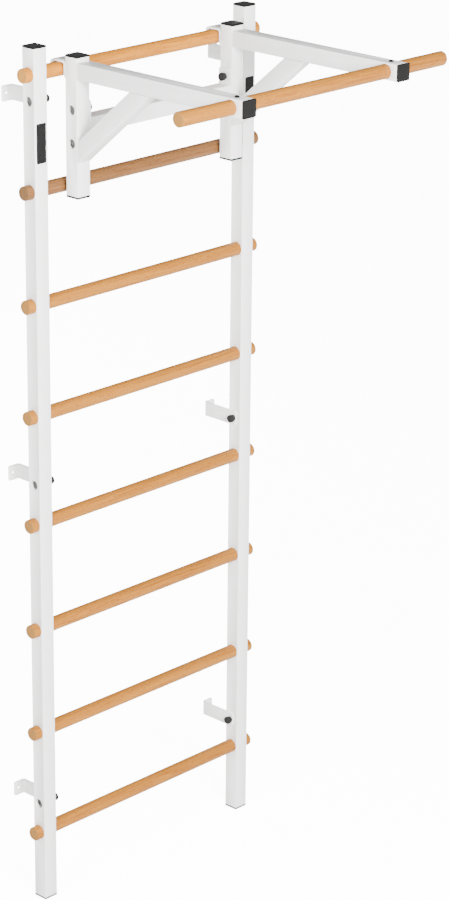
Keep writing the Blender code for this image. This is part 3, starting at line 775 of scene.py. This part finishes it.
def thicken_and_fold(sheet, flat, curve, put):
    """Thickens a blank and bends it after its flat; put places (out, along, across) on the part."""
    for k in range(FOLD_STEPS + 1):
        cut = Vector((flat + curve * k / FOLD_STEPS, 0, 0))
        bmesh.ops.bisect_plane(sheet, geom=sheet.verts[:] + sheet.edges[:] + sheet.faces[:], plane_co=cut,
                               plane_no=(1, 0, 0))
    for part in bmesh.ops.extrude_face_region(sheet, geom=sheet.faces[:])["geom"]:
        if isinstance(part, bmesh.types.BMVert):
            part.co.z = STRIP
    for vert in sheet.verts:
        along, across, rise = vert.co
        angle = min(max((along - flat) / curve, 0), 1) * pi / 2
        radius = FOLD_INSIDE + STRIP - rise
        past = max(along - flat - curve, 0)
        out = rise + radius * (1 - cos(angle)) + past
        vert.co = put(out, min(along, flat) + radius * sin(angle), across)


print("a fold has a radius of", FOLD_INSIDE * 1000, "mm inside")

# %% Fold the brackets
BOLT_HOLE, SCREW_HOLE = 0.0043, 0.004   # radii
SCREW_FROM_END = 0.014
STRIP_EDGE_ROUND = 0.0005
STRIP_SHARP = radians(50)


def folded_bracket(name):
    """A folded bracket in place of the solid of that name."""
    low, high = (Vector(corner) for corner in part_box(name))
    side = -1 if low.x < 0 else 1
    inner = high.x if side < 0 else low.x
    level = (low.z + high.z) / 2
    bolt_y = middle_of(name.replace("wall_bracket", "bracket_bolt"))[0].y
    flat = high.y - STRIP - FOLD_INSIDE - bolt_y
    curve = (FOLD_INSIDE + STRIP / 2) * pi / 2
    end = flat + curve + high.x - low.x - STRIP - FOLD_INSIDE
    sheet = punched_blank(-NOSE_REACH, end, (high.z - low.z) / 2,
                          ((0, BOLT_HOLE), (end - SCREW_FROM_END, SCREW_HOLE)))
    thicken_and_fold(sheet, flat, curve,
                     lambda out, along, across: (inner + side * out, bolt_y + along, level + across))
    piece = make_piece("folded_" + name, sheet, powder_coated_steel, body_of(name), (name,))
    rounding = piece.modifiers.new("edge_round", "BEVEL")
    rounding.width = STRIP_EDGE_ROUND
    rounding.segments = 2
    rounding.limit_method = "ANGLE"
    rounding.angle_limit = STRIP_SHARP
    piece.modifiers.move(1, 0)
    return piece


brackets = [name for name in solids if name.startswith("wall_bracket")]
for name in brackets:
    folded_bracket(name)
print("brackets:", len(brackets))

# %% [markdown]
# ## Welds and hole rims
#
# The frame is welded: a bead runs along each corner, rippled by the welder's
# hand, and where an arm lies flush with its tube it is ground nearly flat. The
# access holes are punched, and the punch draws the rim inward. Behind each
# hole shows the rougher wall of the bore. All this could be left to bump and
# colour in the paint, but they are real shapes with real shadows. So beads and
# rims are turned on the same lathe as the rods, and a thin dusted lining
# stands behind each hole.

# %% Shape a weld bead
BEAD_RADIUS = 0.0022
BEAD_RIPPLE = 0.0016   # spacing of the ripples
BEAD_PROUD = 0.0005    # of a ground bead, above its flush face
BEAD_INSET = 0.002     # from the end of an edge
BEAD_STEPS = 12        # round a bead
RIPPLE_DEPTH = 0.14    # share of the radius
RIPPLE_STEPS = 4       # along each ripple
FADE_STEPS = 5         # over which an end fades


def bead_outline(length):
    """Outline of a rippled bead that fades at both ends."""
    steps = int(length / BEAD_RIPPLE) * RIPPLE_STEPS
    points = [(0, 0)]
    for k in range(1, steps):
        fade = min(1.0, k / FADE_STEPS, (steps - k) / FADE_STEPS)
        ripple = 1 - RIPPLE_DEPTH + RIPPLE_DEPTH * abs(sin(pi * k / RIPPLE_STEPS))
        points.append((length * k / steps, BEAD_RADIUS * ripple * fade ** 0.5))
    return points + [(length, 0)]


def bead(shape, start, end):
    """A bead between two points."""
    run = Vector(end) - Vector(start)
    turn(shape, bead_outline(run.length), start, run, BEAD_STEPS)


def tube_beads(shape, low, high, ground):
    """Beads round a joint: along two corners, and where asked ground ones up its flush sides."""
    for point in (low, high):
        bead(shape, (low.x + BEAD_INSET, point.y, point.z), (high.x - BEAD_INSET, point.y, point.z))
    if not ground:
        return
    sunk = BEAD_RADIUS - BEAD_PROUD
    along = high - low
    along.x = 0
    trim = along.normalized() * BEAD_INSET
    for x in (low.x + sunk, high.x - sunk):
        bead(shape, Vector((x, low.y, low.z)) + trim, Vector((x, high.y, high.z)) - trim)


print("a bead has a ripple every", BEAD_RIPPLE * 1000, "mm")

# %% Lay the weld beads
HALF_TUBE = 0.020
PLATE_THICKNESS = 0.004
BRACE_SLOPE = radians(40.5)

for word in ("left", "right"):
    arm_low, arm_high = (Vector(corner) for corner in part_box("arm_" + word))
    brace_low, brace_high = (Vector(corner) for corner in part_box("brace_" + word))
    tube_side = arm_high.z - arm_low.z
    beads = bmesh.new()
    # The arm on its frame tube, then the two mitred ends of the brace
    tube_beads(beads, Vector((arm_low.x, arm_high.y, arm_low.z)), arm_high, True)
    tube_beads(beads, Vector((brace_low.x, brace_high.y, brace_low.z)),
               Vector((brace_high.x, brace_high.y, brace_low.z + tube_side / cos(BRACE_SLOPE))), False)
    tube_beads(beads, Vector((brace_low.x, brace_low.y, brace_high.z)),
               Vector((brace_high.x, brace_low.y + tube_side / sin(BRACE_SLOPE), brace_high.z)), False)
    make_piece("weld_beads_" + word, beads, powder_coated_steel, "pull_up_frame")

plate_low, plate_high = (Vector(corner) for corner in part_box("crossbar"))
crossbar_level = (plate_low.z + plate_high.z) / 2
beads = bmesh.new()
for x in (plate_low.x + PLATE_THICKNESS, plate_high.x - PLATE_THICKNESS):
    for z in (crossbar_level - HALF_TUBE, crossbar_level + HALF_TUBE):
        bead(beads, (x, plate_low.y + BEAD_INSET, z), (x, plate_high.y - BEAD_INSET, z))
make_piece("weld_beads_crossbar", beads, powder_coated_steel, "pull_up_frame")
print("the brace rises at", round(degrees(BRACE_SLOPE), 1), "degrees")

# %% Draw the rims of the access holes
RIM_OUTLINE = in_metres([   # depth from the tube's face
    (-0.02, 12.5), (-0.08, 12.3), (-0.05, 12.0), (0.1, 11.8), (0.5, 11.65), (1.0, 11.6), (6.0, 11.6),
    (6.4, 11.7), (6.5, 11.8), (6.2, 11.95), (0.6, 11.95), (0.05, 12.45), (-0.02, 12.5)])
RIM_STEPS = 64
SAME_RIM_POINT = 0.000001


def tube_of(bolt):
    """The tube that a bolt stands in."""
    kind = "upright" if "bracket" in bolt else "frame_tube"
    return kind + ("_left" if "_left" in bolt else "_right")


def hole_rim(bolt):
    """The drawn rim of the hole through which a bolt is reached."""
    start, inward = outer_end(bolt)
    low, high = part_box(tube_of(bolt))
    start.x = low[0] if inward.x > 0 else high[0]
    shape = bmesh.new()
    turn(shape, RIM_OUTLINE, start, inward, RIM_STEPS)
    bmesh.ops.remove_doubles(shape, verts=shape.verts, dist=SAME_RIM_POINT)
    return make_piece("rim_" + bolt, shape, powder_coated_steel, body_of(bolt))


print("a rim is", round(max(depth for depth, _ in RIM_OUTLINE) * 1000, 1), "mm deep")

# %% Line the bores, and fit a rim and a lining at every bolt
HEAD_HEIGHT = 0.005    # of a bolt, which stands on the bore's wall
BORE_CLEARANCE = 0.0002   # behind the head's seat, where the lining passes
BORE_HALF = 0.0179     # just inside the bore
BORE_FILM = 0.0001
BORE_REACH = 0.034     # above and below the hole


def prism(shape, rings):
    """A skin over two rings, closed flat at both ends."""
    skin(shape, rings)
    corners = shape.verts[:]
    shape.faces.new(corners[:len(rings[0])])
    shape.faces.new(corners[len(rings[0]):])


def bore_lining(bolt):
    """The dusted bore behind a hole: three walls of the tube, open towards the hole."""
    end, inward = outer_end(bolt)
    axis = end + inward * (HEAD_HEIGHT + BORE_CLEARANCE - BORE_HALF)
    near, far, inner = -BORE_HALF, BORE_HALF, BORE_HALF - BORE_FILM
    outline = ((near, -far), (far, -far), (far, far), (near, far),
               (near, inner), (inner, inner), (inner, -inner), (near, -inner))
    shape = bmesh.new()
    prism(shape, [[axis + inward * u + ALONG_Y * v + ALONG_Z * rise for u, v in outline]
                  for rise in (-BORE_REACH, BORE_REACH)])
    return make_piece("bore_" + bolt, shape, dusted_steel, body_of(bolt))


bolts = [name for name in solids if "_bolt_" in name]
for name in bolts:
    hole_rim(name)
    bore_lining(name)
print("access holes:", len(bolts))

# %% [markdown]
# ## Label plates
#
# A small black plate is stuck on the front of each post below the top rung.
# It is thin film with rounded corners, and here it carries nothing. It could
# be a painted patch, but the real one has an edge that catches light, so it is
# a piece half a millimetre thick.

# %% Stick on the label plates
LABEL_WIDTH, LABEL_HEIGHT, LABEL_THICKNESS = 0.0295, 0.0955, 0.0005
LABEL_CORNER = 0.003
LABEL_FOOT = 1.9237


def label_plate(name, post):
    """A blank plate on the front of a post."""
    middle = middle_of(post)[0].x
    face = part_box(post)[0][1]
    rings = []
    for y in (face, face - LABEL_THICKNESS):
        rings.append(rounded_ring(Vector((middle, y, LABEL_FOOT + LABEL_HEIGHT / 2)), ALONG_X, ALONG_Z,
                                  LABEL_WIDTH / 2, LABEL_HEIGHT / 2, LABEL_CORNER))
    shape = bmesh.new()
    prism(shape, rings)
    return make_piece(name, shape, label_film, "wall_bars")


label_plate("label_plate_left", "upright_left")
label_plate("label_plate_right", "upright_right")
print("labels start", LABEL_FOOT, "m above the floor")

# %% [markdown]
# ## Floor and light
#
# The photograph has a white surround with only a breath of shadow at the
# feet. Its tops are its greyest faces, so little light comes from above; the
# fronts are brightest and the left sides a little less, and the undersides
# of the rungs are lifted by light from the floor. One way is a ring of soft
# boxes. Here the studio is a plain gradient of light instead, bright below
# and dim above, with a wide soft box in front and a little to the left, a
# weaker one at the left, and a fill from behind. The floor glows, as a lit
# sweep does, to stay white, and only the camera sees that glow.

# %% Lay the floor
FLOOR_GLOW = 12.0
FLOOR_REACH = 30
FLOOR_DROP = 0.0002    # below the feet

floor_finish, tree, shader, place = start_finish(
    "pale_floor", Roughness=1.0, Base_Color=linear("#FFFFFF"), Specular_IOR_Level=0.0,
    Emission_Color=linear("#FFFFFF"), Emission_Strength=FLOOR_GLOW)
floor_mesh = bpy.data.meshes.new("floor")
corners = [(x * FLOOR_REACH, y * FLOOR_REACH, 0) for x, y in ((-1, -1), (1, -1), (1, 1), (-1, 1))]
floor_mesh.from_pydata(corners, [], [(0, 1, 2, 3)])
floor_mesh.materials.append(floor_finish)
floor = bpy.data.objects.new("floor", floor_mesh)
bpy.context.scene.collection.objects.link(floor)
floor.location.z = solid_box[0][2] - FLOOR_DROP
floor.visible_diffuse = False
floor.visible_glossy = False
print("floor lies at", round(floor.location.z, 4), "m")

# %% Light it
LIGHT_ABOVE, LIGHT_BELOW = 0.4, 2.6
HORIZON_BLEND = 0.35   # how far above and below the horizon the one turns into the other
SOFT_BOXES = (         # name, place, aim, width in metres, power in watts
    ("front_box", (-1.9, -5.2, 3.3), (0, 0, 0.9), 2.2, 1080),
    ("left_box", (-5.0, -1.6, 3.0), (0, 0, 0.9), 2.0, 300),
    ("back_box", (0.5, 5.5, 1.6), (0, 0, 1.1), 2.4, 420))

world = bpy.data.worlds.new("studio")
bpy.context.scene.world = world
world.use_nodes = True
tree = world.node_tree
height = add_node(tree, "SeparateXYZ", {"Vector": add_node(tree, "TexCoord").outputs["Generated"]})
strength = add_node(tree, "MapRange", {
    "Value": height.outputs["Z"], "From Min": -HORIZON_BLEND, "From Max": HORIZON_BLEND,
    "To Min": LIGHT_BELOW, "To Max": LIGHT_ABOVE})
tree.nodes["Background"].inputs["Color"].default_value = linear("#FFFFFF")
tree.links.new(strength.outputs["Result"], tree.nodes["Background"].inputs["Strength"])


def soft_box(name, place, aim, width, power):
    """A square soft box that faces a point."""
    light = bpy.data.lights.new(name, "AREA")
    light.shape = "SQUARE"
    light.size = width
    light.energy = power
    box = bpy.data.objects.new(name, light)
    bpy.context.scene.collection.objects.link(box)
    box.location = place
    box.rotation_euler = (Vector(aim) - Vector(place)).to_track_quat("-Z", "Y").to_euler()


for settings in SOFT_BOXES:
    soft_box(*settings)
print("soft boxes:", len(SOFT_BOXES))
